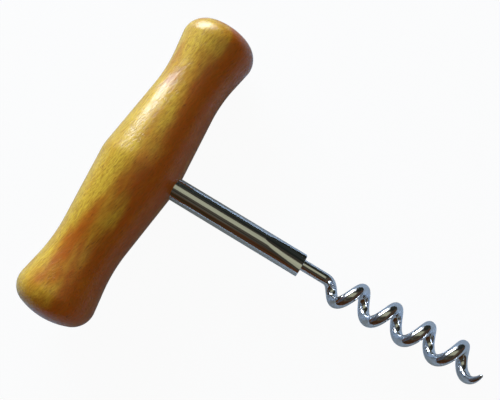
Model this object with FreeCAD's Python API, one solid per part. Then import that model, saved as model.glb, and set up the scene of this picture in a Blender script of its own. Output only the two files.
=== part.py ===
import FreeCAD, Part
import math
import os

# Corkscrew with a turned wooden cross handle, a crimped steel shank tube and a bent wire worm.
# The object is drawn with the handle along Y and the shank along +X, both axes crossing at zero.
# It is then turned into the pose it rests in and lifted on to the ground plane.
# All sizes are in millimetres, all angles in degrees.

# Handle, one turning, the same towards both ends
BULGE_RADIUS = 12.55
BULGE_ARC = 12.3
WAIST_RADIUS = 10.05
WAIST_ARC = 48.0
FLARE_RADIUS = 11.8
FLARE_OFFSET = 43.3
WAIST_OFFSET = 0.652 * FLARE_OFFSET
END_OVERHANG = 7.3
FLARE_ARC = 0.85 * END_OVERHANG

# Shank tube, pressed into a blind socket in the handle
TUBE_RADIUS = 3.54
TUBE_WALL = 0.65
TUBE_REACH = 55.4
TUBE_DEPTH = 0.5 * BULGE_RADIUS

# Worm, one wire: straight in the tube, a lead-in bend, then a left-hand coil with a ground point
WIRE_RADIUS = 1.7
WIRE_DEPTH = 0.75 * TUBE_DEPTH
LEAD_IN_START = 6.85
LEAD_IN_LENGTH = 6.7
COIL_RADIUS = 3.6
COIL_GROWTH = 0.055
COIL_PITCH = 10.8
COIL_TURNS = 4
COIL_OFFSET = -0.45
COIL_LEAN = 1.66
POINT_ANGLE = 65.0
POINT_LEAD = 25.0
POINT_ADVANCE = -0.5
POINT_RADIUS = 0.5
POINT_INSET = 0.3
POINT_SECTIONS = 5
SPANS_PER_TURN = 4

# Crimp, one long skewed dent pressed into the tube's free end until it grips the wire
DENT_RADIUS = 3.7
DENT_SIDE = 27.0
DENT_SLOPE = 4.6
DENT_SKEW = 17.6
DENT_EDGE = 0.3

# Pin driven through handle, tube and wire from the back
PIN_RADIUS = 0.8
PIN_STATION = 0.12 * BULGE_RADIUS
PIN_REACH = 0.55 * BULGE_RADIUS
PIN_SINK = 0.25

# Fits, radial
SOCKET_FIT = 0.01
WIRE_FIT = 0.02
PIN_FIT = 0.01

BORE_RADIUS = TUBE_RADIUS - TUBE_WALL
WIRE_OFFSET = BORE_RADIUS - WIRE_RADIUS - WIRE_FIT


def vec(x, y, z):
    return FreeCAD.Vector(x, y, z)


# Unit direction in the tube's section that the dent is pressed from
def dent_direction():
    side = math.radians(DENT_SIDE)
    return vec(0, -math.sin(side), math.cos(side))


# Centre of the wire's straight part in the tube's section, against the wall across from the dent
def wire_seat():
    return dent_direction().multiply(-WIRE_OFFSET)


def point_on(centre, radius, angle):
    return vec(centre.x + radius * math.cos(angle), centre.y + radius * math.sin(angle), 0)


# Angle at which a line touches a hollow arc and a crest arc that lie on either side of it
def crossing_tangent(crest, crest_arc, hollow, hollow_arc, sign):
    run = hollow.sub(crest)
    base = math.atan2(run.y, run.x)
    return base + sign * math.acos((crest_arc + hollow_arc) / run.Length)


def arc_edge(centre, radius, start, end):
    middle = 0.5 * (start + end)
    points = [point_on(centre, radius, angle) for angle in (start, middle, end)]
    return Part.Arc(points[0], points[1], points[2]).toShape()


# Right half of the handle's outline, drawn with the axis along x and the radius along y
def half_outline():
    half = FLARE_OFFSET + END_OVERHANG
    bulge = vec(0, BULGE_RADIUS - BULGE_ARC, 0)
    waist = vec(WAIST_OFFSET, WAIST_RADIUS + WAIST_ARC, 0)
    flare = vec(FLARE_OFFSET, FLARE_RADIUS - FLARE_ARC, 0)
    leave = crossing_tangent(bulge, BULGE_ARC, waist, WAIST_ARC, 1)
    rise = crossing_tangent(flare, FLARE_ARC, waist, WAIST_ARC, -1)
    reach = half - FLARE_ARC
    dome = (reach ** 2 - flare.x ** 2 - flare.y ** 2) / (2 * (reach - flare.x))
    turn = math.atan2(flare.y, flare.x - dome)
    edges = [arc_edge(bulge, BULGE_ARC, 0.5 * math.pi, leave)]
    edges.append(Part.makeLine(point_on(bulge, BULGE_ARC, leave), point_on(waist, WAIST_ARC, leave + math.pi)))
    edges.append(arc_edge(waist, WAIST_ARC, leave + math.pi, rise + math.pi))
    edges.append(Part.makeLine(point_on(waist, WAIST_ARC, rise + math.pi), point_on(flare, FLARE_ARC, rise)))
    edges.append(arc_edge(flare, FLARE_ARC, rise, turn))
    edges.append(arc_edge(vec(dome, 0, 0), half - dome, turn, 0))
    return edges


def handle_blank():
    edges = half_outline()
    half = FLARE_OFFSET + END_OVERHANG
    edges.append(Part.makeLine(vec(half, 0, 0), vec(0, 0, 0)))
    edges.append(Part.makeLine(vec(0, 0, 0), vec(0, BULGE_RADIUS, 0)))
    face = Part.Face(Part.Wire(Part.__sortEdges__(edges)))
    right = face.revolve(vec(0, 0, 0), vec(1, 0, 0), 360)
    left = right.mirror(vec(0, 0, 0), vec(1, 0, 0))
    blank = right.fuse(left).removeSplitter()
    blank.rotate(vec(0, 0, 0), vec(0, 0, 1), 90)
    return blank


def rod(radius, start, end):
    return Part.makeCylinder(radius, end.sub(start).Length, start, end.sub(start))


# Pin axis, through the middle of the wire and square to the handle
def pin_rod(radius, start, end):
    seat = wire_seat()
    return rod(radius, vec(PIN_STATION, seat.y, start), vec(PIN_STATION, seat.y, end))


def make_handle():
    socket = rod(TUBE_RADIUS + SOCKET_FIT, vec(-TUBE_DEPTH - SOCKET_FIT, 0, 0), vec(2 * BULGE_RADIUS, 0, 0))
    drill = pin_rod(PIN_RADIUS + PIN_FIT, -2 * BULGE_RADIUS, PIN_REACH + PIN_FIT)
    return handle_blank().cut(socket).cut(drill)


# Tool of the dent, a round bar that comes down on the wire and runs across the tube
def dent_bar(radius):
    down = dent_direction()
    across = vec(1, 0, 0).cross(down)
    run = vec(1, 0, 0) - down * math.tan(math.radians(DENT_SLOPE))
    run = run + across * math.tan(math.radians(DENT_SKEW))
    run.normalize()
    lean = down.dot(run)
    stack = DENT_RADIUS + TUBE_WALL + WIRE_RADIUS + WIRE_FIT
    height = stack / math.sqrt(1 - lean ** 2) - WIRE_OFFSET
    centre = vec(TUBE_REACH, 0, 0) + down * height
    return rod(radius, centre - run * 12 * TUBE_RADIUS, centre + run * 3 * TUBE_RADIUS)


# Outside of the tube, dented at its free end, the dent's long edges rolled over
def tube_body(inner, outer):
    body = rod(TUBE_RADIUS, inner, outer).cut(dent_bar(DENT_RADIUS))
    bent = [edge for edge in body.Edges if not isinstance(edge.Curve, Part.Line)]
    rims = [edge for edge in bent if edge.BoundBox.XLength > TUBE_RADIUS]
    return body.makeFillet(DENT_EDGE, rims)


def make_tube():
    inner = vec(-TUBE_DEPTH, 0, 0)
    outer = vec(TUBE_REACH, 0, 0)
    bore = rod(BORE_RADIUS, inner - vec(1, 0, 0), outer + vec(1, 0, 0))
    bore = bore.cut(dent_bar(DENT_RADIUS + TUBE_WALL))
    drill = pin_rod(PIN_RADIUS + PIN_FIT, -2 * TUBE_RADIUS, 2 * TUBE_RADIUS)
    return tube_body(inner, outer).cut(bore).cut(drill)


# Blend from 0 to 1 that starts level and ends with the given slope
def ease(u, end_slope):
    return u * u * (3 - 2 * u) + end_slope * u * u * (u - 1)


# Lead-in bend, from the wire's seat in the tube out to the coil, at u from 0 to 1
def lead_in_point(u):
    seat = wire_seat()
    first = vec(0, COIL_OFFSET - COIL_RADIUS, 0)
    start_angle = math.atan2(seat.z, seat.y) % (2 * math.pi)
    end_angle = math.pi
    sweep = end_angle - start_angle
    rate = -2 * math.pi * LEAD_IN_LENGTH / COIL_PITCH
    angle = start_angle + sweep * ease(u, rate / sweep)
    radius = WIRE_OFFSET + (first.Length - WIRE_OFFSET) * ease(u, 0)
    x = TUBE_REACH + LEAD_IN_START + LEAD_IN_LENGTH * u
    return vec(x, radius * math.cos(angle), radius * math.sin(angle))


# Wire radius along the coil, at an angle in radians counted from the end of the lead-in
def wire_radius_at(angle):
    start = 2 * math.pi * COIL_TURNS - math.radians(POINT_LEAD)
    length = math.radians(POINT_ANGLE + POINT_LEAD)
    share = max(0.0, (angle - start) / length)
    return WIRE_RADIUS + (POINT_RADIUS - WIRE_RADIUS) * share


# Coil centreline, a left-hand helix about a leaning axis, its point ground more on the inside
def coil_point(angle):
    ground = max(0.0, WIRE_RADIUS - wire_radius_at(angle))
    share = ground / (WIRE_RADIUS - POINT_RADIUS)
    run = COIL_PITCH * angle / (2 * math.pi) + POINT_ADVANCE * share ** 2
    radius = COIL_RADIUS + COIL_GROWTH * angle / (2 * math.pi) + POINT_INSET * ground
    axis_y = COIL_OFFSET + run * math.tan(math.radians(COIL_LEAN))
    turned = math.pi - angle
    x = TUBE_REACH + LEAD_IN_START + LEAD_IN_LENGTH + run
    return vec(x, axis_y + radius * math.cos(turned), radius * math.sin(turned))


# Place of a curve given by a formula, and the direction in which it arrives there
def station(formula, at):
    heading = formula(at) - formula(at - 0.0001)
    return formula(at), heading.normalize()


# Stations of the bent centreline, from the start of the lead-in to the end of the full-size coil
def centreline():
    last = 2 * math.pi * COIL_TURNS - math.radians(POINT_LEAD)
    count = SPANS_PER_TURN * COIL_TURNS
    found = [(lead_in_point(0), vec(1, 0, 0))]
    found.extend(station(lead_in_point, k / 4.0) for k in range(1, 4))
    found.extend(station(coil_point, last * k / count) for k in range(count + 1))
    return found


# Length of the two equal legs that join a pair of arcs, each tangent to one end of a span
def leg_length(chord, start, end):
    both = start + end
    along = chord.dot(both)
    bend = 2 * (1 - start.dot(end))
    if bend < 1e-9:
        return chord.dot(chord) / (2 * along)
    return (math.sqrt(along ** 2 + bend * chord.dot(chord)) - along) / bend


# Wire along one arc that leaves a point in a given direction: its skin and the circle it ends on
def bend_wire(circle, start, tangent, end):
    chord = end - start
    axis = tangent.cross(chord)
    axis.normalize()
    inward = axis.cross(tangent)
    radius = chord.dot(chord) / (2 * chord.dot(inward))
    centre = start + inward * radius
    turn = math.degrees(2 * math.atan2(chord.dot(inward), chord.dot(tangent)))
    skin = circle.revolve(centre, axis, turn)
    moved = circle.copy()
    moved.rotate(centre, axis, turn)
    return skin.Faces, moved


# Skin of the bent wire, two tangent arcs for each span between neighbouring stations
def coil_skin(circle, stations):
    faces = []
    for (start, heading), (end, ending) in zip(stations, stations[1:]):
        leg = leg_length(end - start, heading, ending)
        first = start + heading * leg
        second = end - ending * leg
        middle = (first + second) * 0.5
        skin, circle = bend_wire(circle, start, heading, middle)
        faces.extend(skin)
        skin, circle = bend_wire(circle, middle, (second - first).normalize(), end)
        faces.extend(skin)
    return faces, circle


# Circle square to the centreline, its seam kept beside that of the circle before it
def section(centre, direction, seam, radius):
    side = seam - direction * seam.dot(direction)
    side.normalize()
    up = direction.cross(side)
    placed = FreeCAD.Matrix(side.x, up.x, direction.x, centre.x, side.y, up.y, direction.y, centre.y,
                            side.z, up.z, direction.z, centre.z, 0, 0, 0, 1)
    circle = Part.Circle(vec(0, 0, 0), vec(0, 0, 1), radius).toShape()
    return Part.Wire(circle.transformed(placed)), side


# Ground point, a horn that thins along the last part of the coil to a small round tip
def worm_point():
    start = 2 * math.pi * COIL_TURNS - math.radians(POINT_LEAD)
    length = math.radians(POINT_ANGLE + POINT_LEAD)
    seam = vec(0, 0, 1)
    rings = []
    for k in range(POINT_SECTIONS + 1):
        angle = start + length * k / POINT_SECTIONS
        centre, heading = station(coil_point, angle)
        ring, seam = section(centre, heading, seam, wire_radius_at(angle))
        rings.append(ring)
    horn = Part.makeLoft(rings, True)
    return horn.fuse(Part.makeSphere(POINT_RADIUS, centre))


def make_worm():
    seat = wire_seat()
    inner = vec(-WIRE_DEPTH, seat.y, seat.z)
    mouth = vec(TUBE_REACH + LEAD_IN_START, seat.y, seat.z)
    straight = rod(WIRE_RADIUS, inner, mouth)
    circle = Part.Circle(mouth, vec(1, 0, 0), WIRE_RADIUS).toShape()
    faces, last = coil_skin(circle, centreline())
    faces.append(Part.Face(Part.Wire(circle)))
    faces.append(Part.Face(Part.Wire(last)))
    shell = Part.makeShell(faces)
    shell.sewShape()
    coil = Part.Solid(shell)
    worm = straight.fuse([coil, worm_point()])
    drill = pin_rod(PIN_RADIUS + PIN_FIT, -2 * TUBE_RADIUS, 2 * TUBE_RADIUS)
    return worm.cut(drill)


def make_pin():
    seat = wire_seat()
    skin = math.sqrt(BULGE_RADIUS ** 2 - PIN_STATION ** 2 - seat.y ** 2)
    return pin_rod(PIN_RADIUS, PIN_SINK + PIN_RADIUS ** 2 / BULGE_RADIUS - skin, PIN_REACH)


# Roll at which the bulge and one flare of the handle touch the ground together
def rest_roll():
    rise = (FLARE_RADIUS - FLARE_ARC) - (BULGE_RADIUS - BULGE_ARC)
    gap = BULGE_ARC - FLARE_ARC
    reach = math.hypot(FLARE_OFFSET, rise)
    return math.asin(gap / reach) - math.atan2(rise, FLARE_OFFSET)


# Depth of the handle's lowest point below its axis crossing, once rolled
def handle_drop(roll):
    return (BULGE_RADIUS - BULGE_ARC) * math.cos(roll) + BULGE_ARC


# Depth of the worm's lowest point for a given pitch of the shank
def worm_drop(pitch, roll):
    end = 2 * math.pi * COIL_TURNS
    lowest = 0.0
    for k in range(40 * COIL_TURNS + 1):
        point = coil_point(end * k / (40 * COIL_TURNS))
        height = point.z * math.cos(pitch) - point.x * math.sin(pitch)
        height = height * math.cos(roll) - point.y * math.sin(roll)
        lowest = min(lowest, height)
    return WIRE_RADIUS - lowest


# Pitch of the shank, found by halving, at which handle and worm touch the ground together
def rest_pitch(roll):
    low = 0.0
    high = math.radians(30)
    for step in range(50):
        middle = 0.5 * (low + high)
        if worm_drop(middle, roll) > handle_drop(roll):
            high = middle
        else:
            low = middle
    return 0.5 * (low + high)


# Resting pose: pitched about the handle, rolled on to the flare at +Y, lifted on to zero
def rest_placement():
    roll = rest_roll()
    pitch = rest_pitch(roll)
    pitched = FreeCAD.Rotation(vec(0, 1, 0), math.degrees(pitch))
    rolled = FreeCAD.Rotation(vec(1, 0, 0), -math.degrees(roll))
    return FreeCAD.Placement(vec(0, 0, handle_drop(roll)), rolled.multiply(pitched))


def main():
    os.makedirs("parts", exist_ok=True)
    shapes = {"handle": make_handle(), "shank_tube": make_tube(), "worm": make_worm(), "retaining_pin": make_pin()}
    placement = rest_placement()
    for name, shape in shapes.items():
        shape.transformShape(placement.toMatrix())
    box = FreeCAD.BoundBox()
    for shape in shapes.values():
        box.add(shape.optimalBoundingBox(False, False))
    for name, shape in shapes.items():
        shape.translate(vec(-box.Center.x, -box.Center.y, -box.ZMin))
        shape.exportStep(os.path.join("parts", name + ".step"))


main()
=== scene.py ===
import logging
import math
from collections.abc import Mapping, Sequence
from dataclasses import dataclass, field
from enum import Enum

import bmesh
import bpy
from mathutils import Matrix, Vector


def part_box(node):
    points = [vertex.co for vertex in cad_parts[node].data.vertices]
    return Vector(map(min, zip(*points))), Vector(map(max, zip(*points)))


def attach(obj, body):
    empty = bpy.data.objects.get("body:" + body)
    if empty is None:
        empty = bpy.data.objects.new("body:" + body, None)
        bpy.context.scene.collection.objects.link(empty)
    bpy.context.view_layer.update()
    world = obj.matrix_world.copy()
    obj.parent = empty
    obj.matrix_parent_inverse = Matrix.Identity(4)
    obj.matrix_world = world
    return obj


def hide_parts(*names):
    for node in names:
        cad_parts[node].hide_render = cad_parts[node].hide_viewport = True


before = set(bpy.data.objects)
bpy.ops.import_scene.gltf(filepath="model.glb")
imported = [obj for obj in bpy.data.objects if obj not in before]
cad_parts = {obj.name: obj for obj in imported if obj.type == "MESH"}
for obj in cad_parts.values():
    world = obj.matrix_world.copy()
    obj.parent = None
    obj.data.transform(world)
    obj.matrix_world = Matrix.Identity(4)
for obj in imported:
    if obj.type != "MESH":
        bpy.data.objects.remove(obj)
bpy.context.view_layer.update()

log = logging.getLogger("corkscrew")

# Sizes in the classes are in millimetres, and meshes are in metres.
MM = 0.001


class Side(Enum):
    """The side of the studio that a wall stands on."""

    BACK = "back"
    FRONT = "front"
    RIGHT = "right"
    LEFT = "left"
    ROOF = "roof"


def linear(code: str, alpha: float = 1.0) -> tuple[float, float, float, float]:
    """Turns an sRGB hex colour to linear light.

    Args:
        code: six hex digits after a hash sign.
        alpha: the fourth number of the result.

    Returns:
        Red, green, blue and alpha for a shader's socket.
    """
    parts = [int(code[k : k + 2], 16) / 255 for k in (1, 3, 5)]
    light = [c / 12.92 if c <= 0.04045 else ((c + 0.055) / 1.055) ** 2.4 for c in parts]
    return light[0], light[1], light[2], alpha


def add_node(
    tree: bpy.types.NodeTree,
    kind: str,
    sockets: Mapping[str | int, object] | None = None,
    **settings: object,
) -> bpy.types.Node:
    """Adds a node with its settings and links.

    Args:
        tree: the node tree that gets the node.
        kind: the node's type.
        sockets: an input's name or number, with its value or the output that feeds it.
        settings: the node's own settings.

    Returns:
        The new node.
    """
    node = tree.nodes.new(kind)
    for name, value in settings.items():
        setattr(node, name, value)
    for name, value in (sockets or {}).items():
        if isinstance(value, bpy.types.NodeSocket):
            tree.links.new(value, node.inputs[name])
        else:
            node.inputs[name].default_value = value
    return node


def new_material(name: str) -> bpy.types.Material:
    """Makes a material with an empty node tree.

    Args:
        name: the material's name.

    Returns:
        The material.
    """
    material = bpy.data.materials.new(name)
    material.use_nodes = True
    material.node_tree.nodes.clear()
    return material


def ease(share: float, end_slope: float = 0.0) -> float:
    """Blends from 0 to 1, level at the start.

    Args:
        share: how far along, from 0 to 1.
        end_slope: the slope at the end.

    Returns:
        The blend's value.
    """
    return share * share * (3 - 2 * share) + end_slope * share * share * (share - 1)


def loft(name: str, rings: Sequence[Sequence[Vector]]) -> bpy.types.Object:
    """Joins rings of points into one closed skin with a fan at both ends.

    Args:
        name: the piece's name.
        rings: rings with equal numbers of points, in millimetres.

    Returns:
        The piece, still at the scene's zero.
    """
    shape = bmesh.new()
    loops = [[shape.verts.new(point * MM) for point in ring] for ring in rings]
    count = len(loops[0])
    for first, second in zip(loops, loops[1:]):
        for k in range(count):
            after = (k + 1) % count
            shape.faces.new((first[k], first[after], second[after], second[k]))
    for loop, flip in ((loops[0], True), (loops[-1], False)):
        middle = shape.verts.new(sum((v.co for v in loop), Vector()) / count)
        for k in range(count):
            after = (k + 1) % count
            corners = (loop[after], loop[k], middle) if flip else (loop[k], loop[after], middle)
            shape.faces.new(corners)
    bmesh.ops.recalc_face_normals(shape, faces=shape.faces)
    for face in shape.faces:
        face.smooth = True
    mesh = bpy.data.meshes.new(name)
    shape.to_mesh(mesh)
    shape.free()
    piece = bpy.data.objects.new(name, mesh)
    bpy.context.scene.collection.objects.link(piece)
    return piece


def rod(name: str, start: Vector, end: Vector, radius: float, sides: int = 48) -> bpy.types.Object:
    """Makes a straight round rod.

    Args:
        name: the rod's name.
        start: the middle of one end, in millimetres.
        end: the middle of the other end.
        radius: the rod's radius in millimetres.
        sides: points round the rod.

    Returns:
        The rod.
    """
    run = (end - start).normalized()
    side = run.orthogonal().normalized()
    up = run.cross(side)
    turns = [2 * math.pi * k / sides for k in range(sides)]
    round_points = [(side * math.cos(a) + up * math.sin(a)) * radius for a in turns]
    return loft(name, [[centre + point for point in round_points] for centre in (start, end)])


def drill(piece: bpy.types.Object, cutters: Sequence[bpy.types.Object], sharp: float = 40.0) -> None:
    """Cuts holes in a piece and leaves their edges crisp.

    Args:
        piece: the piece that gets the holes.
        cutters: the shapes of the holes, which are used up.
        sharp: the angle in degrees from which an edge is crisp.
    """
    for cutter in cutters:
        hole = piece.modifiers.new(cutter.name, "BOOLEAN")
        hole.operation = "DIFFERENCE"
        hole.solver = "EXACT"
        hole.object = cutter
    graph = bpy.context.evaluated_depsgraph_get()
    mesh = bpy.data.meshes.new_from_object(piece.evaluated_get(graph))
    piece.modifiers.clear()
    piece.data = mesh
    for cutter in cutters:
        bpy.data.objects.remove(cutter)
    mesh.set_sharp_from_angle(angle=math.radians(sharp))


@dataclass(frozen=True)
class RestPose:
    """How the corkscrew lies: on the handle's bulge, one flare and the worm."""

    pitch: float = 3.6883
    roll: float = 0.9935
    handle_back: float = 12.55

    def matrix(self) -> Matrix:
        """Gives the pose, from the corkscrew's own axes to the ground's.

        Returns:
            The turn of the pose with the move to the place of the handle's middle.
        """
        low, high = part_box("handle")
        middle = Vector((low.x + self.handle_back * MM, (low.y + high.y) / 2, (low.z + high.z) / 2))
        pitched = Matrix.Rotation(math.radians(self.pitch), 4, "Y")
        rolled = Matrix.Rotation(-math.radians(self.roll), 4, "X")
        return Matrix.Translation(middle) @ rolled @ pitched


@dataclass(frozen=True)
class GrainLayer:
    """One kind of mark along the grain, its sizes in millimetres and its slant in degrees."""

    colour: str
    across: float
    along: float
    detail: float = 3.0
    tilt: float = 0.0
    low: float = 0.0
    high: float = 1.0
    most: float = 1.0
    sunk: float = 0.0

    def share(self, tree: bpy.types.NodeTree, place: bpy.types.NodeSocket) -> bpy.types.NodeSocket:
        """Draws the marks as noise stretched along the handle.

        Args:
            tree: the material's node tree.
            place: the point on the wood.

        Returns:
            How much of the layer's colour shows, from 0 to the largest share.
        """
        turned = add_node(
            tree, "ShaderNodeVectorRotate",
            {"Vector": place, "Angle": math.radians(self.tilt)}, rotation_type="Z_AXIS",
        )
        scaled = add_node(
            tree, "ShaderNodeMapping",
            {"Vector": turned.outputs[0], "Location": (self.across, self.along, self.tilt),
             "Scale": (1 / (self.across * MM), 1 / (self.along * MM), 1 / (self.across * MM))},
        )
        noise = add_node(
            tree, "ShaderNodeTexNoise",
            {"Vector": scaled.outputs[0], "Scale": 1.0, "Detail": self.detail, "Roughness": 0.55},
        )
        shown = add_node(
            tree, "ShaderNodeMapRange",
            {"Value": noise.outputs["Fac"], "From Min": self.low, "From Max": self.high,
             "To Min": 0.0, "To Max": self.most},
        )
        return shown.outputs[0]


@dataclass(frozen=True)
class VarnishedBeech:
    """Beech, turned and sanded on the lathe and dipped in honey varnish.

    The eye sees a golden wood with cloudy stain, and fine short fibres along the grain that break up a satin
    gloss.
    A darker orange brown is painted along the side away from the window lamp and towards the ends: painted
    shade.
    """

    sapwood: str = "#D2B53A"
    # Painted shade: a darker orange brown round a line along the handle's side away from the window lamp.
    shade_line_place: tuple[float, float, float] = (-43.5, 0.0, 16.0)
    shade_clouds: GrainLayer = GrainLayer("#AC5402", across=9.0, along=22.0)
    # Stain patches 3 mm wide; fibres 0.42 mm and marks and pores 0.3 mm, as real ones of
    # 0.08 mm are too fine to show.
    layers: tuple[GrainLayer, ...] = (
        GrainLayer("#BE8114", across=3.0, along=7.0, tilt=12.0, low=0.46, high=0.72, most=0.3),
        GrainLayer(
            "#86580A", across=0.42, along=5.0, tilt=9.0, low=0.42, high=0.72, most=0.48, sunk=1.0,
        ),
        GrainLayer(
            "#86580A", across=0.3, along=1.8, detail=1.0, tilt=14.0, low=0.46, high=0.74, most=0.5,
            sunk=1.0,
        ),
        GrainLayer(
            "#5A300A", across=0.3, along=2.4, detail=0.0, tilt=10.0, low=0.72, high=0.82, most=0.5,
        ),
    )
    film_weight: float = 0.85
    film_roughness: float = 0.15
    cloud_swing: float = 23.0
    shade_widening: float = 0.07
    shade_full: float = -6.6
    shade_none: float = 1.2
    grain_depth: float = 0.06

    def painted_shade_share(self, tree: bpy.types.NodeTree, place: bpy.types.NodeSocket) -> bpy.types.NodeSocket:
        """Finds how much painted shade, a darker orange brown, a point gets near a line along the handle's
        side away from the window lamp, with a cloudy border.

        Args:
            tree: the material's node tree.
            place: the point on the wood.

        Returns:
            The share of painted shade, from 0 to 1.
        """
        clouds = self.shade_clouds.share(tree, place)
        moved = add_node(
            tree, "ShaderNodeMapping",
            {"Vector": place, "Location": tuple(-c * MM for c in self.shade_line_place),
             "Scale": (1.0, 0.0, 1.0)},
        )
        reach = add_node(tree, "ShaderNodeVectorMath", {0: moved.outputs[0]}, operation="LENGTH")
        cloudy = add_node(
            tree, "ShaderNodeMath", {0: clouds, 1: -self.cloud_swing * MM, 2: reach.outputs["Value"]},
            operation="MULTIPLY_ADD",
        )
        # The painted shade widens a little towards the handle's ends.
        along = add_node(
            tree, "ShaderNodeMapping", {"Vector": place, "Scale": (0.0, self.shade_widening, 0.0)}
        )
        widening = add_node(tree, "ShaderNodeVectorMath", {0: along.outputs[0]}, operation="LENGTH")
        widened = add_node(
            tree, "ShaderNodeMath", {0: cloudy.outputs[0], 1: widening.outputs["Value"]},
            operation="SUBTRACT",
        )
        return add_node(
            tree, "ShaderNodeMapRange",
            {"Value": widened.outputs[0], "From Min": self.shade_none * MM, "From Max": self.shade_full * MM,
             "To Min": 0.0, "To Max": 0.97},
            interpolation_type="SMOOTHSTEP",
        ).outputs[0]

    def material(self) -> bpy.types.Material:
        """Builds the finish.

        Returns:
            The material.
        """
        material = new_material("varnished_beech")
        tree = material.node_tree
        place = add_node(tree, "ShaderNodeTexCoord").outputs["Object"]
        # Painted shade: the golden wood turns darker orange brown along the side away from the window lamp.
        colour = add_node(
            tree, "ShaderNodeMix",
            {0: self.painted_shade_share(tree, place), 6: linear(self.sapwood),
             7: linear(self.shade_clouds.colour)},
            data_type="RGBA",
        ).outputs[2]
        relief = 0.0
        for layer in self.layers:
            share = layer.share(tree, place)
            colour = add_node(
                tree, "ShaderNodeMix", {0: share, 6: colour, 7: linear(layer.colour)},
                data_type="RGBA",
            ).outputs[2]
            relief = add_node(
                tree, "ShaderNodeMath", {0: share, 1: layer.sunk, 2: relief},
                operation="MULTIPLY_ADD",
            ).outputs[0]
        sunk = add_node(
            tree, "ShaderNodeBump",
            {"Height": relief, "Strength": 1.0, "Distance": self.grain_depth * MM}, invert=True,
        )
        shader = add_node(
            tree, "ShaderNodeBsdfPrincipled",
            {
                "Base Color": colour, "Roughness": 0.5, "IOR": 1.5, "Specular IOR Level": 0.1,
                "Coat Weight": self.film_weight, "Coat Roughness": self.film_roughness, "Coat IOR": 1.5,
                "Normal": sunk.outputs[0], "Coat Normal": sunk.outputs[0],
            },
        )
        add_node(tree, "ShaderNodeOutputMaterial", {"Surface": shader.outputs[0]})
        return material


@dataclass(frozen=True)
class ChromePlate:
    """Drawn steel, polished and chrome plated.

    The eye sees a mirror with a faint blue cast, slightly wavy, with hairline scratches.
    """

    plate: str = "#E4E8EE"
    worn: str = "#C9CDD2"
    name: str = "chrome_plate"
    gloss_roughness: float = 0.07
    scratch_roughness: float = 0.2
    wave_length: float = 2.5
    wave_height: float = 0.2

    def material(self) -> bpy.types.Material:
        """Builds the finish.

        Returns:
            The material.
        """
        material = new_material(self.name)
        tree = material.node_tree
        place = add_node(tree, "ShaderNodeTexCoord").outputs["Object"]
        # Hairline scratches 0.2 mm wide and 3 mm long; real ones are finer.
        scratch_place = add_node(
            tree, "ShaderNodeMapping",
            {"Vector": place, "Rotation": (0.3, 0.2, 0.25),
             "Scale": (1 / (3 * MM), 1 / (0.2 * MM), 1 / (0.2 * MM))},
        )
        scratches = add_node(
            tree, "ShaderNodeTexNoise",
            {"Vector": scratch_place.outputs[0], "Scale": 1.0, "Detail": 1.0, "Roughness": 0.5},
        )
        # Waviness left by polishing, about 2.5 mm from crest to crest.
        waves = add_node(
            tree, "ShaderNodeTexNoise",
            {"Vector": place, "Scale": 1 / (self.wave_length * MM), "Detail": 2.0, "Roughness": 0.5},
        )
        worn_share = add_node(
            tree, "ShaderNodeMapRange",
            {"Value": scratches.outputs["Fac"], "From Min": 0.7, "From Max": 0.8,
             "To Min": 0.0, "To Max": 0.7},
        )
        colour = add_node(
            tree, "ShaderNodeMix",
            {0: worn_share.outputs[0], 6: linear(self.plate), 7: linear(self.worn)},
            data_type="RGBA",
        )
        dulling = add_node(
            tree, "ShaderNodeMapRange",
            {"Value": worn_share.outputs[0], "From Min": 0.0, "From Max": 1.0,
             "To Min": self.gloss_roughness, "To Max": self.scratch_roughness},
        )
        relief = add_node(
            tree, "ShaderNodeBump",
            {"Height": waves.outputs["Fac"], "Strength": 0.05, "Distance": self.wave_height * MM},
        )
        shader = add_node(
            tree, "ShaderNodeBsdfPrincipled",
            {
                "Base Color": colour.outputs[2], "Metallic": 1.0, "Roughness": dulling.outputs[0],
                "Normal": relief.outputs[0],
            },
        )
        add_node(tree, "ShaderNodeOutputMaterial", {"Surface": shader.outputs[0]})
        return material


@dataclass(frozen=True)
class DrawnSteel:
    """Bright drawn steel wire, cropped and left bare.

    The eye sees a dull grey metal with fine drawing lines.
    """

    bright: str = "#A9AAAC"
    dull: str = "#77787A"

    def material(self) -> bpy.types.Material:
        """Builds the finish.

        Returns:
            The material.
        """
        material = new_material("drawn_steel")
        tree = material.node_tree
        place = add_node(tree, "ShaderNodeTexCoord").outputs["Object"]
        # Drawing lines 0.1 mm apart; real ones are finer.
        line_place = add_node(
            tree, "ShaderNodeMapping",
            {"Vector": place, "Scale": (1 / (0.1 * MM), 1 / (0.1 * MM), 1 / (4 * MM))},
        )
        lines = add_node(
            tree, "ShaderNodeTexNoise",
            {"Vector": line_place.outputs[0], "Scale": 1.0, "Detail": 2.0, "Roughness": 0.5},
        )
        colour = add_node(
            tree, "ShaderNodeMix",
            {0: lines.outputs["Fac"], 6: linear(self.bright), 7: linear(self.dull)},
            data_type="RGBA",
        )
        dulling = add_node(
            tree, "ShaderNodeMapRange",
            {"Value": lines.outputs["Fac"], "From Min": 0.3, "From Max": 0.7,
             "To Min": 0.28, "To Max": 0.45},
        )
        shader = add_node(
            tree, "ShaderNodeBsdfPrincipled",
            {"Base Color": colour.outputs[2], "Metallic": 1.0, "Roughness": dulling.outputs[0]},
        )
        add_node(tree, "ShaderNodeOutputMaterial", {"Surface": shader.outputs[0]})
        return material


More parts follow.
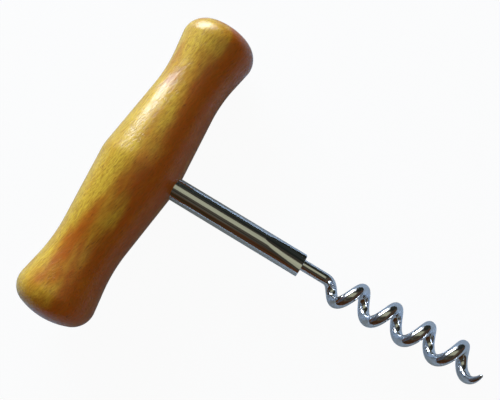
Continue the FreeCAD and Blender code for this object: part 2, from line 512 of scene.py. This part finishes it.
@dataclass
class Shank:
    """Steel tube from the handle, its free end pressed flatter on one side."""

    radius: float = 3.54
    wall: float = 0.65
    reach: float = 55.4
    depth: float = 6.275
    wire_radius: float = 1.7
    wire_fit: float = 0.02
    wire_side: float = 27.0
    dent_radius: float = 7.0
    dent_side: float = 20.0
    dent_length: float = 12.9
    dent_depth: float = 0.9
    dent_edge: float = 0.3
    corner: float = 0.8
    corner_run: float = 3.0
    rim: float = 0.12
    sides: int = 192

    @property
    def wire_offset(self) -> float:
        """Gives how far the wire lies beside the tube's axis."""
        return self.radius - self.wall - self.wire_radius - self.wire_fit

    def wire_seat(self) -> Vector:
        """Gives the wire's place in the tube's section."""
        side = math.radians(self.wire_side)
        return Vector((0.0, math.sin(side), -math.cos(side))) * self.wire_offset

    def pressed(self, x: float, angle: float, round_radius: float) -> float:
        """Finds the tube's radius, smaller where its end is pressed to a flatter arc.

        Args:
            x: place along the shank.
            angle: direction round the shank, in radians.
            round_radius: the radius before the dent.

        Returns:
            The radius, blended over the dent's edge.
        """
        share = (x - self.reach) / self.dent_length + 1
        depth = self.dent_depth * min(max(share, 0.0), 1.0)
        if depth <= 0:
            return round_radius
        flat_radius = self.dent_radius - self.radius + round_radius
        centre = flat_radius - round_radius + depth
        turn = angle - math.radians(90 - self.dent_side)
        flat = math.sqrt(flat_radius**2 - (centre * math.sin(turn)) ** 2) - centre * math.cos(turn)
        blend = min(self.dent_edge, depth)
        near = max(blend - abs(flat - round_radius), 0.0) / blend
        return min(flat, round_radius) - near * near * blend / 4

    def pulled(self, x: float, y: float) -> float:
        """Finds how far the worn corner on one side of the end draws a point back.

        Args:
            x: place along the shank.
            y: place across the shank.

        Returns:
            The distance along the shank.
        """
        out = min(max(y - self.radius + self.corner, 0.0), self.corner)
        share = min(max((x - self.reach) / self.corner_run + 1, 0.0), 1.0)
        return (self.corner - math.sqrt(self.corner**2 - out**2)) * share

    def ring(self, x: float, round_radius: float, inset: float = 0.0) -> list[Vector]:
        """Draws one ring of the tube's skin.

        Args:
            x: place along the shank.
            round_radius: the radius before the dent.
            inset: how far the ring is drawn in, at the rounded rim.

        Returns:
            The ring's points.
        """
        points = []
        for k in range(self.sides):
            angle = 2 * math.pi * k / self.sides
            radius = self.pressed(x, angle, round_radius) - inset
            y, z = radius * math.cos(angle), radius * math.sin(angle)
            points.append(Vector((x - self.pulled(x, y), y, z)))
        return points

    def build(self, pose: Matrix) -> bpy.types.Object:
        """Builds the tube, its outer skin, rounded rim and bore.

        Args:
            pose: the corkscrew's pose.

        Returns:
            The tube.
        """
        plain_end = self.reach - self.dent_length - 1
        dented = self.reach - self.rim - plain_end
        stations = [-self.depth + (plain_end + self.depth) * k / 24 for k in range(25)]
        stations += [plain_end + dented * k / 80 for k in range(1, 81)]
        bore = self.radius - self.wall
        rings = [self.ring(-self.depth, bore)]
        rings += [self.ring(x, self.radius) for x in stations]
        turns = [math.pi / 2 * k / 5 for k in range(1, 6)]
        for turn in turns:
            x = self.reach - self.rim * (1 - math.sin(turn))
            rings.append(self.ring(x, self.radius, self.rim * (1 - math.cos(turn))))
        for turn in reversed(turns):
            x = self.reach - self.rim * (1 - math.sin(turn))
            rings.append(self.ring(x, bore, -self.rim * (1 - math.cos(turn))))
        rings += [self.ring(x, bore) for x in reversed(stations[1:])]
        rings.append(self.ring(-self.depth + 0.5, bore))
        piece = loft("shank_tube_skin", rings)
        piece.data.transform(pose)
        return piece

    def dress(self, piece: bpy.types.Object, finish: bpy.types.Material) -> None:
        """Gives the tube its finish and its place in the frame.

        Args:
            piece: the tube.
            finish: the chrome that tube and worm share.
        """
        piece.data.materials.append(finish)
        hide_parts("shank_tube")
        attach(piece, "root")


@dataclass
class Handle:
    """Cross handle, one turning with a bulge, two waists and two rounded ends."""

    shank: Shank
    bulge_radius: float = 12.55
    bulge_arc: float = 12.3
    waist_radius: float = 10.05
    waist_arc: float = 48.0
    flare_radius: float = 11.8
    flare_offset: float = 43.3
    end_overhang: float = 7.3
    pin_radius: float = 0.8
    pin_station: float = 1.506
    pin_reach: float = 6.9025
    fit: float = 0.01
    sides: int = 160
    finish: VarnishedBeech = field(default_factory=VarnishedBeech)

    def outline(self) -> list[tuple[float, float]]:
        """Draws the half outline from the middle to the end.

        Returns:
            Pairs of place along the axis and radius, in millimetres.
        """
        flare_arc = 0.85 * self.end_overhang
        half = self.flare_offset + self.end_overhang
        waist_offset = 0.652 * self.flare_offset
        bulge = Vector((0.0, self.bulge_radius - self.bulge_arc))
        waist = Vector((waist_offset, self.waist_radius + self.waist_arc))
        flare = Vector((self.flare_offset, self.flare_radius - flare_arc))
        reach = half - flare_arc
        dome = (reach**2 - flare.x**2 - flare.y**2) / (2 * (reach - flare.x))
        leave = self.tangent(bulge, self.bulge_arc, waist, 1)
        rise = self.tangent(flare, flare_arc, waist, -1)
        turn = math.atan2(flare.y, flare.x - dome)
        points: list[tuple[float, float]] = []
        arcs = (
            (bulge, self.bulge_arc, math.pi / 2, leave, 30),
            (waist, self.waist_arc, leave + math.pi, rise + math.pi, 40),
            (flare, flare_arc, rise, turn, 36),
            # The dome stops just short of the axis, where the loft closes it.
            (Vector((dome, 0.0)), half - dome, turn, 0.004, 30),
        )
        for centre, radius, start, end, steps in arcs:
            for k in range(steps + 1):
                angle = start + (end - start) * k / steps
                point = (centre.x + radius * math.cos(angle), centre.y + radius * math.sin(angle))
                if not points or abs(point[0] - points[-1][0]) + abs(point[1] - points[-1][1]) > 0.01:
                    points.append(point)
        return points

    def tangent(self, crest: Vector, crest_arc: float, hollow: Vector, side: int) -> float:
        """Finds where a straight line leaves a crest for the waist's hollow.

        Args:
            crest: the crest arc's centre.
            crest_arc: the crest arc's radius.
            hollow: the hollow arc's centre.
            side: 1 or -1, the side of the crest that the line leaves from.

        Returns:
            The angle on the crest's arc, in radians.
        """
        run = hollow - crest
        return math.atan2(run.y, run.x) + side * math.acos((crest_arc + self.waist_arc) / run.length)

    def build(self, pose: Matrix) -> bpy.types.Object:
        """Builds the turned handle with its socket and its pin hole.

        Args:
            pose: the corkscrew's pose.

        Returns:
            The handle.
        """
        half = self.outline()
        full = [(-place, radius) for place, radius in reversed(half)] + half[1:]
        rings = []
        for place, radius in full:
            turns = [2 * math.pi * k / self.sides for k in range(self.sides)]
            rings.append([Vector((radius * math.cos(a), place, radius * math.sin(a))) for a in turns])
        piece = loft("turned_handle", rings)
        fit = self.fit
        far = 2 * self.bulge_radius
        mouth, floor = Vector((far, 0.0, 0.0)), Vector((-self.shank.depth - fit, 0.0, 0.0))
        socket = rod("socket", floor, mouth, self.shank.radius + fit, 96)
        across = Vector((self.pin_station, self.shank.wire_seat().y, 0.0))
        top = Vector((0.0, 0.0, self.pin_reach + fit))
        pin_hole = rod("pin_hole", across - Vector((0.0, 0.0, far)), across + top, self.pin_radius + fit)
        drill(piece, (socket, pin_hole))
        piece.data.transform(pose)
        return piece

    def dress(self, piece: bpy.types.Object) -> None:
        """Gives the handle its finish and its place in the frame.

        Args:
            piece: the handle.
        """
        piece.data.materials.append(self.finish.material())
        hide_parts("handle")
        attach(piece, "root")


@dataclass
class Worm:
    """One wire: straight in the tube, a lead-in bend, a left-hand coil and a ground point."""

    shank: Shank
    inner_end: float = -4.70625
    lead_in_start: float = 6.85
    lead_in_length: float = 6.7
    coil_radius: float = 3.6
    coil_growth: float = 0.055
    coil_pitch: float = 10.8
    coil_turns: int = 4
    coil_offset: float = -0.45
    coil_lean: float = 1.66
    point_angle: float = 65.0
    point_lead: float = 25.0
    point_advance: float = -0.5
    point_radius: float = 0.5
    point_inset: float = 0.3
    sides: int = 40

    def lead_in(self, share: float) -> Vector:
        """Follows the lead-in bend.

        Args:
            share: how far along, from 0 to 1.

        Returns:
            The point on the wire's centreline.
        """
        seat = self.shank.wire_seat()
        start = math.atan2(seat.z, seat.y) % (2 * math.pi)
        sweep = math.pi - start
        rate = -2 * math.pi * self.lead_in_length / self.coil_pitch
        angle = start + sweep * ease(share, rate / sweep)
        offset = self.shank.wire_offset
        radius = offset + (self.coil_radius - self.coil_offset - offset) * ease(share)
        x = self.shank.reach + self.lead_in_start + self.lead_in_length * share
        return Vector((x, radius * math.cos(angle), radius * math.sin(angle)))

    def wire_at(self, angle: float) -> float:
        """Gives the wire's radius at an angle along the coil."""
        start = 2 * math.pi * self.coil_turns - math.radians(self.point_lead)
        share = max(0.0, (angle - start) / math.radians(self.point_angle + self.point_lead))
        return self.shank.wire_radius + (self.point_radius - self.shank.wire_radius) * share

    def coil(self, angle: float) -> Vector:
        """Follows the coil about its slightly leaning axis.

        Args:
            angle: turn in radians from the end of the lead-in.

        Returns:
            The point on the wire's centreline.
        """
        ground = self.shank.wire_radius - self.wire_at(angle)
        share = max(0.0, ground / (self.shank.wire_radius - self.point_radius))
        run = self.coil_pitch * angle / (2 * math.pi) + self.point_advance * share**2
        radius = self.coil_radius + self.coil_growth * angle / (2 * math.pi) + self.point_inset * ground
        axis_y = self.coil_offset + run * math.tan(math.radians(self.coil_lean))
        turned = math.pi - angle
        x = self.shank.reach + self.lead_in_start + self.lead_in_length + run
        return Vector((x, axis_y + radius * math.cos(turned), radius * math.sin(turned)))

    def centreline(self) -> list[tuple[Vector, float]]:
        """Draws the whole wire from its inner end to its point.

        Returns:
            Points of the centreline, each with the wire's radius there.
        """
        seat = self.shank.wire_seat()
        mouth = self.shank.reach + self.lead_in_start
        wire = self.shank.wire_radius
        straight = [self.inner_end + (mouth - self.inner_end) * k / 40 for k in range(40)]
        line = [(Vector((x, seat.y, seat.z)), wire) for x in straight]
        line += [(self.lead_in(k / 48), wire) for k in range(48)]
        last = 2 * math.pi * self.coil_turns + math.radians(self.point_angle)
        steps = 110 * self.coil_turns
        line += [(self.coil(last * k / steps), self.wire_at(last * k / steps)) for k in range(steps + 1)]
        tip, before = line[-1][0], line[-2][0]
        heading = (tip - before).normalized()
        for k in range(1, 6):
            turn = math.pi / 2 * k / 6
            ahead = self.point_radius * math.sin(turn)
            line.append((tip + heading * ahead, self.point_radius * math.cos(turn)))
        return line

    def build(self, pose: Matrix) -> bpy.types.Object:
        """Builds the wire along its centreline.

        Args:
            pose: the corkscrew's pose.

        Returns:
            The worm.
        """
        line = self.centreline()
        side = Vector((0.0, 0.0, 1.0))
        rings = []
        for k, (centre, radius) in enumerate(line):
            ahead = line[min(k + 1, len(line) - 1)][0]
            behind = line[max(k - 1, 0)][0]
            heading = (ahead - behind).normalized()
            side = (side - heading * side.dot(heading)).normalized()
            up = heading.cross(side)
            turns = [2 * math.pi * j / self.sides for j in range(self.sides)]
            rings.append([centre + (side * math.cos(a) + up * math.sin(a)) * radius for a in turns])
        piece = loft("wire_worm", rings)
        piece.data.transform(pose)
        return piece

    def dress(self, piece: bpy.types.Object, finish: bpy.types.Material) -> None:
        """Gives the worm its finish and its place in the frame.

        Args:
            piece: the worm.
            finish: the chrome that tube and worm share.
        """
        piece.data.materials.append(finish)
        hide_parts("worm")
        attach(piece, "root")


@dataclass
class RetainingPin:
    """Short pin that holds tube and wire in the handle, its shape as in the frame."""

    finish: DrawnSteel = field(default_factory=DrawnSteel)

    def dress(self) -> bpy.types.Object:
        """Gives the pin its finish.

        Returns:
            The frame's own pin.
        """
        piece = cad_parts["retaining_pin"]
        piece.data.materials.clear()
        piece.data.materials.append(self.finish.material())
        return piece


@dataclass(frozen=True)
class Lamp:
    """One soft lamp, a rectangle aimed at the corkscrew; lengths in metres."""

    name: str
    bearing: float
    height_angle: float
    distance: float
    width: float
    height: float
    power: float
    colour: str

    def place(self) -> Vector:
        """Works out where the lamp hangs, from its bearing and height in degrees."""
        bearing, rise = math.radians(self.bearing), math.radians(self.height_angle)
        flat = math.cos(rise)
        way = Vector((flat * math.cos(bearing), flat * math.sin(bearing), math.sin(rise)))
        return way * self.distance

    def light(self) -> bpy.types.Object:
        """Hangs the lamp.

        Returns:
            The lamp.
        """
        data = bpy.data.lights.new(self.name, "AREA")
        data.shape = "RECTANGLE"
        data.size = self.width
        data.size_y = self.height
        data.energy = self.power
        data.color = linear(self.colour)[:3]
        lamp = bpy.data.objects.new(self.name, data)
        lamp.location = self.place()
        lamp.rotation_mode = "QUATERNION"
        lamp.rotation_quaternion = (-self.place()).to_track_quat("-Z", "Y")
        lamp.visible_camera = False
        bpy.context.scene.collection.objects.link(lamp)
        return lamp


@dataclass(frozen=True)
class Wall:
    """One dim glowing wall that only the chrome shows, a painted reflection and no lamp; lengths in metres.
    """

    name: str
    side: Side
    dark: str
    warm: str
    distance: float = 0.75

    def corners(self) -> list[tuple[float, float, float]]:
        """Places the wall's corners.

        Returns:
            Four points in the frame, in order round the wall.
        """
        far = self.distance
        flat = ((-far, 0.0), (far, 0.0), (far, far), (-far, far))
        if self.side is Side.BACK:
            return [(p, far, q) for p, q in flat]
        if self.side is Side.FRONT:
            return [(p, -far, q) for p, q in flat]
        if self.side is Side.RIGHT:
            return [(far, p, q) for p, q in flat]
        if self.side is Side.LEFT:
            return [(-far, p, q) for p, q in flat]
        return [(p, 2 * q - far, far) for p, q in flat]

    def stand(self) -> bpy.types.Object:
        """Sets the glowing wall up, out of the sight of the camera, of diffuse light and of shadows, so that
        it shows only as a painted reflection.

        Returns:
            The wall.
        """
        mesh = bpy.data.meshes.new(self.name)
        mesh.from_pydata(self.corners(), [], [(0, 1, 2, 3)])
        wall = bpy.data.objects.new(self.name, mesh)
        bpy.context.scene.collection.objects.link(wall)
        material = new_material(self.name)
        tree = material.node_tree
        place = add_node(tree, "ShaderNodeTexCoord").outputs["Object"]
        # Painted reflection: dim glowing blotches about 200 mm apart, seen only in the chrome.
        reflection_blotches = add_node(
            tree, "ShaderNodeTexNoise",
            {"Vector": place, "Scale": 1 / 0.2, "Detail": 2.0, "Roughness": 0.6},
        )
        share = add_node(
            tree, "ShaderNodeMapRange",
            {"Value": reflection_blotches.outputs["Fac"], "From Min": 0.42, "From Max": 0.66,
             "To Min": 0.0, "To Max": 1.0},
        )
        colour = add_node(
            tree, "ShaderNodeMix",
            {0: share.outputs[0], 6: linear(self.dark), 7: linear(self.warm)},
            data_type="RGBA",
        )
        glow = add_node(tree, "ShaderNodeEmission", {"Color": colour.outputs[2], "Strength": 1.0})
        add_node(tree, "ShaderNodeOutputMaterial", {"Surface": glow.outputs[0]})
        mesh.materials.append(material)
        wall.visible_camera = False
        wall.visible_diffuse = False
        wall.visible_shadow = False
        return wall


@dataclass
class Studio:
    """Pale floor, lamps, the camera, and dim glowing walls that only the chrome shows, as painted
    reflections.
    """

    camera_place: tuple[float, float, float] = (6.781, -23.805, 206.647)
    camera_aim: tuple[float, float, float] = (-0.12488, 0.16221, -0.97882)
    camera_right: tuple[float, float, float] = (0.85589, 0.51661, -0.02359)
    lens: float = 49.106
    lamps: tuple[Lamp, ...] = (
        Lamp(
            "window_lamp", bearing=143.0, height_angle=17.0, distance=0.70, width=0.44, height=0.30,
            power=6.9, colour="#EEF6FF",
        ),
        Lamp(
            "curtain_lamp", bearing=140.0, height_angle=22.0, distance=0.72, width=0.82, height=0.52,
            power=1.2, colour="#F8FBFF",
        ),
        Lamp(
            "top_lamp", bearing=90.0, height_angle=77.0, distance=0.72, width=0.86, height=0.50,
            power=0.45, colour="#FFFFD8",
        ),
    )
    # Painted reflections: glowing walls that only mirror rays see, which give the chrome its dark bands.
    walls: tuple[Wall, ...] = (
        Wall("back_wall_reflection", Side.BACK, "#1E201C", "#3A3D38"),
        Wall("front_wall_reflection", Side.FRONT, "#2E2414", "#5A3420"),
        Wall("right_wall_reflection", Side.RIGHT, "#2C2C2A", "#604634"),
        Wall("left_wall_reflection", Side.LEFT, "#3C4046", "#6A707C"),
        Wall("ceiling_reflection", Side.ROOF, "#2E2A24", "#5C5648"),
    )

    def floor(self) -> None:
        """Lays the pale floor, which shows white to the camera and keeps the shadow."""
        shape = bmesh.new()
        bmesh.ops.create_grid(shape, x_segments=4, y_segments=4, size=2.0)
        mesh = bpy.data.meshes.new("paper_floor")
        shape.to_mesh(mesh)
        shape.free()
        floor = bpy.data.objects.new("paper_floor", mesh)
        floor.location = (0.0, 0.0, -0.1 * MM)
        bpy.context.scene.collection.objects.link(floor)
        material = new_material("matt_paper")
        tree = material.node_tree
        paper = add_node(tree, "ShaderNodeBsdfDiffuse", {"Color": linear("#A0B8D6")})
        white = add_node(tree, "ShaderNodeEmission", {"Color": (1.0, 1.0, 1.0, 1.0), "Strength": 1.0})
        path = add_node(tree, "ShaderNodeLightPath")
        mirrored = add_node(
            tree, "ShaderNodeMath",
            {0: path.outputs["Is Glossy Ray"], 1: path.outputs["Is Transmission Ray"]}, operation="MAXIMUM",
        )
        in_metal = add_node(tree, "ShaderNodeMath", {0: mirrored.outputs[0], 1: 0.05}, operation="MULTIPLY")
        share = add_node(
            tree, "ShaderNodeMath", {0: path.outputs["Is Camera Ray"], 1: 0.95, 2: in_metal.outputs[0]},
            operation="MULTIPLY_ADD",
        )
        mixed = add_node(
            tree, "ShaderNodeMixShader", {0: share.outputs[0], 1: paper.outputs[0], 2: white.outputs[0]}
        )
        add_node(tree, "ShaderNodeOutputMaterial", {"Surface": mixed.outputs[0]})
        mesh.materials.append(material)

    def surroundings(self) -> None:
        """Sets the white surroundings and their plain light."""
        world = bpy.data.worlds.new("white_room")
        world.use_nodes = True
        tree = world.node_tree
        tree.nodes.clear()
        path = add_node(tree, "ShaderNodeLightPath")
        seen = add_node(
            tree, "ShaderNodeMath",
            {0: path.outputs["Is Camera Ray"], 1: path.outputs["Is Glossy Ray"]}, operation="MAXIMUM",
        )
        seen_all = add_node(
            tree, "ShaderNodeMath", {0: seen.outputs[0], 1: path.outputs["Is Transmission Ray"]},
            operation="MAXIMUM",
        )
        strength = add_node(
            tree, "ShaderNodeMapRange",
            {"Value": seen_all.outputs[0], "From Min": 0.0, "From Max": 1.0, "To Min": 0.3, "To Max": 1.0},
        )
        tint = add_node(
            tree, "ShaderNodeMix",
            {0: seen_all.outputs[0], 6: linear("#FFE6C4"), 7: linear("#FFFFFF")}, data_type="RGBA",
        )
        room = add_node(
            tree, "ShaderNodeBackground", {"Color": tint.outputs[2], "Strength": strength.outputs[0]}
        )
        add_node(tree, "ShaderNodeOutputWorld", {"Surface": room.outputs[0]})
        bpy.context.scene.world = world

    def camera(self) -> None:
        """Sets up the camera as the photograph has it."""
        data = bpy.data.cameras.new("camera")
        data.sensor_width = 36.0
        data.lens = self.lens
        data.clip_start = 0.01
        camera = bpy.data.objects.new("camera", data)
        aim, right = Vector(self.camera_aim), Vector(self.camera_right)
        turn = Matrix((right, right.cross(aim), -aim)).transposed()
        camera.location = Vector(self.camera_place) * MM
        camera.rotation_mode = "QUATERNION"
        camera.rotation_quaternion = turn.to_quaternion()
        bpy.context.scene.collection.objects.link(camera)
        bpy.context.scene.camera = camera

    def build(self) -> None:
        """Sets up the whole studio."""
        self.camera()
        self.floor()
        self.surroundings()
        for lamp in self.lamps:
            lamp.light()
        for wall in self.walls:
            wall.stand()
        view = bpy.context.scene.view_settings
        view.view_transform = "Standard"


def main() -> None:
    """Builds the corkscrew and the studio."""
    logging.basicConfig(level=logging.INFO, format="%(name)s: %(message)s")
    Studio().build()
    pose = RestPose().matrix()
    chrome = ChromePlate().material()
    shank = Shank()
    handle = Handle(shank)
    piece = handle.build(pose)
    handle.dress(piece)
    log.info("%s has %d faces", piece.name, len(piece.data.polygons))
    piece = shank.build(pose)
    shank.dress(piece, chrome)
    log.info("%s has %d faces", piece.name, len(piece.data.polygons))
    worm = Worm(shank)
    piece = worm.build(pose)
    worm.dress(piece, ChromePlate(name="chrome_plated_wire", gloss_roughness=0.13).material())
    log.info("%s has %d faces", piece.name, len(piece.data.polygons))
    piece = RetainingPin().dress()
    log.info("%s keeps its shape", piece.name)


if __name__ == "__main__":
    main()
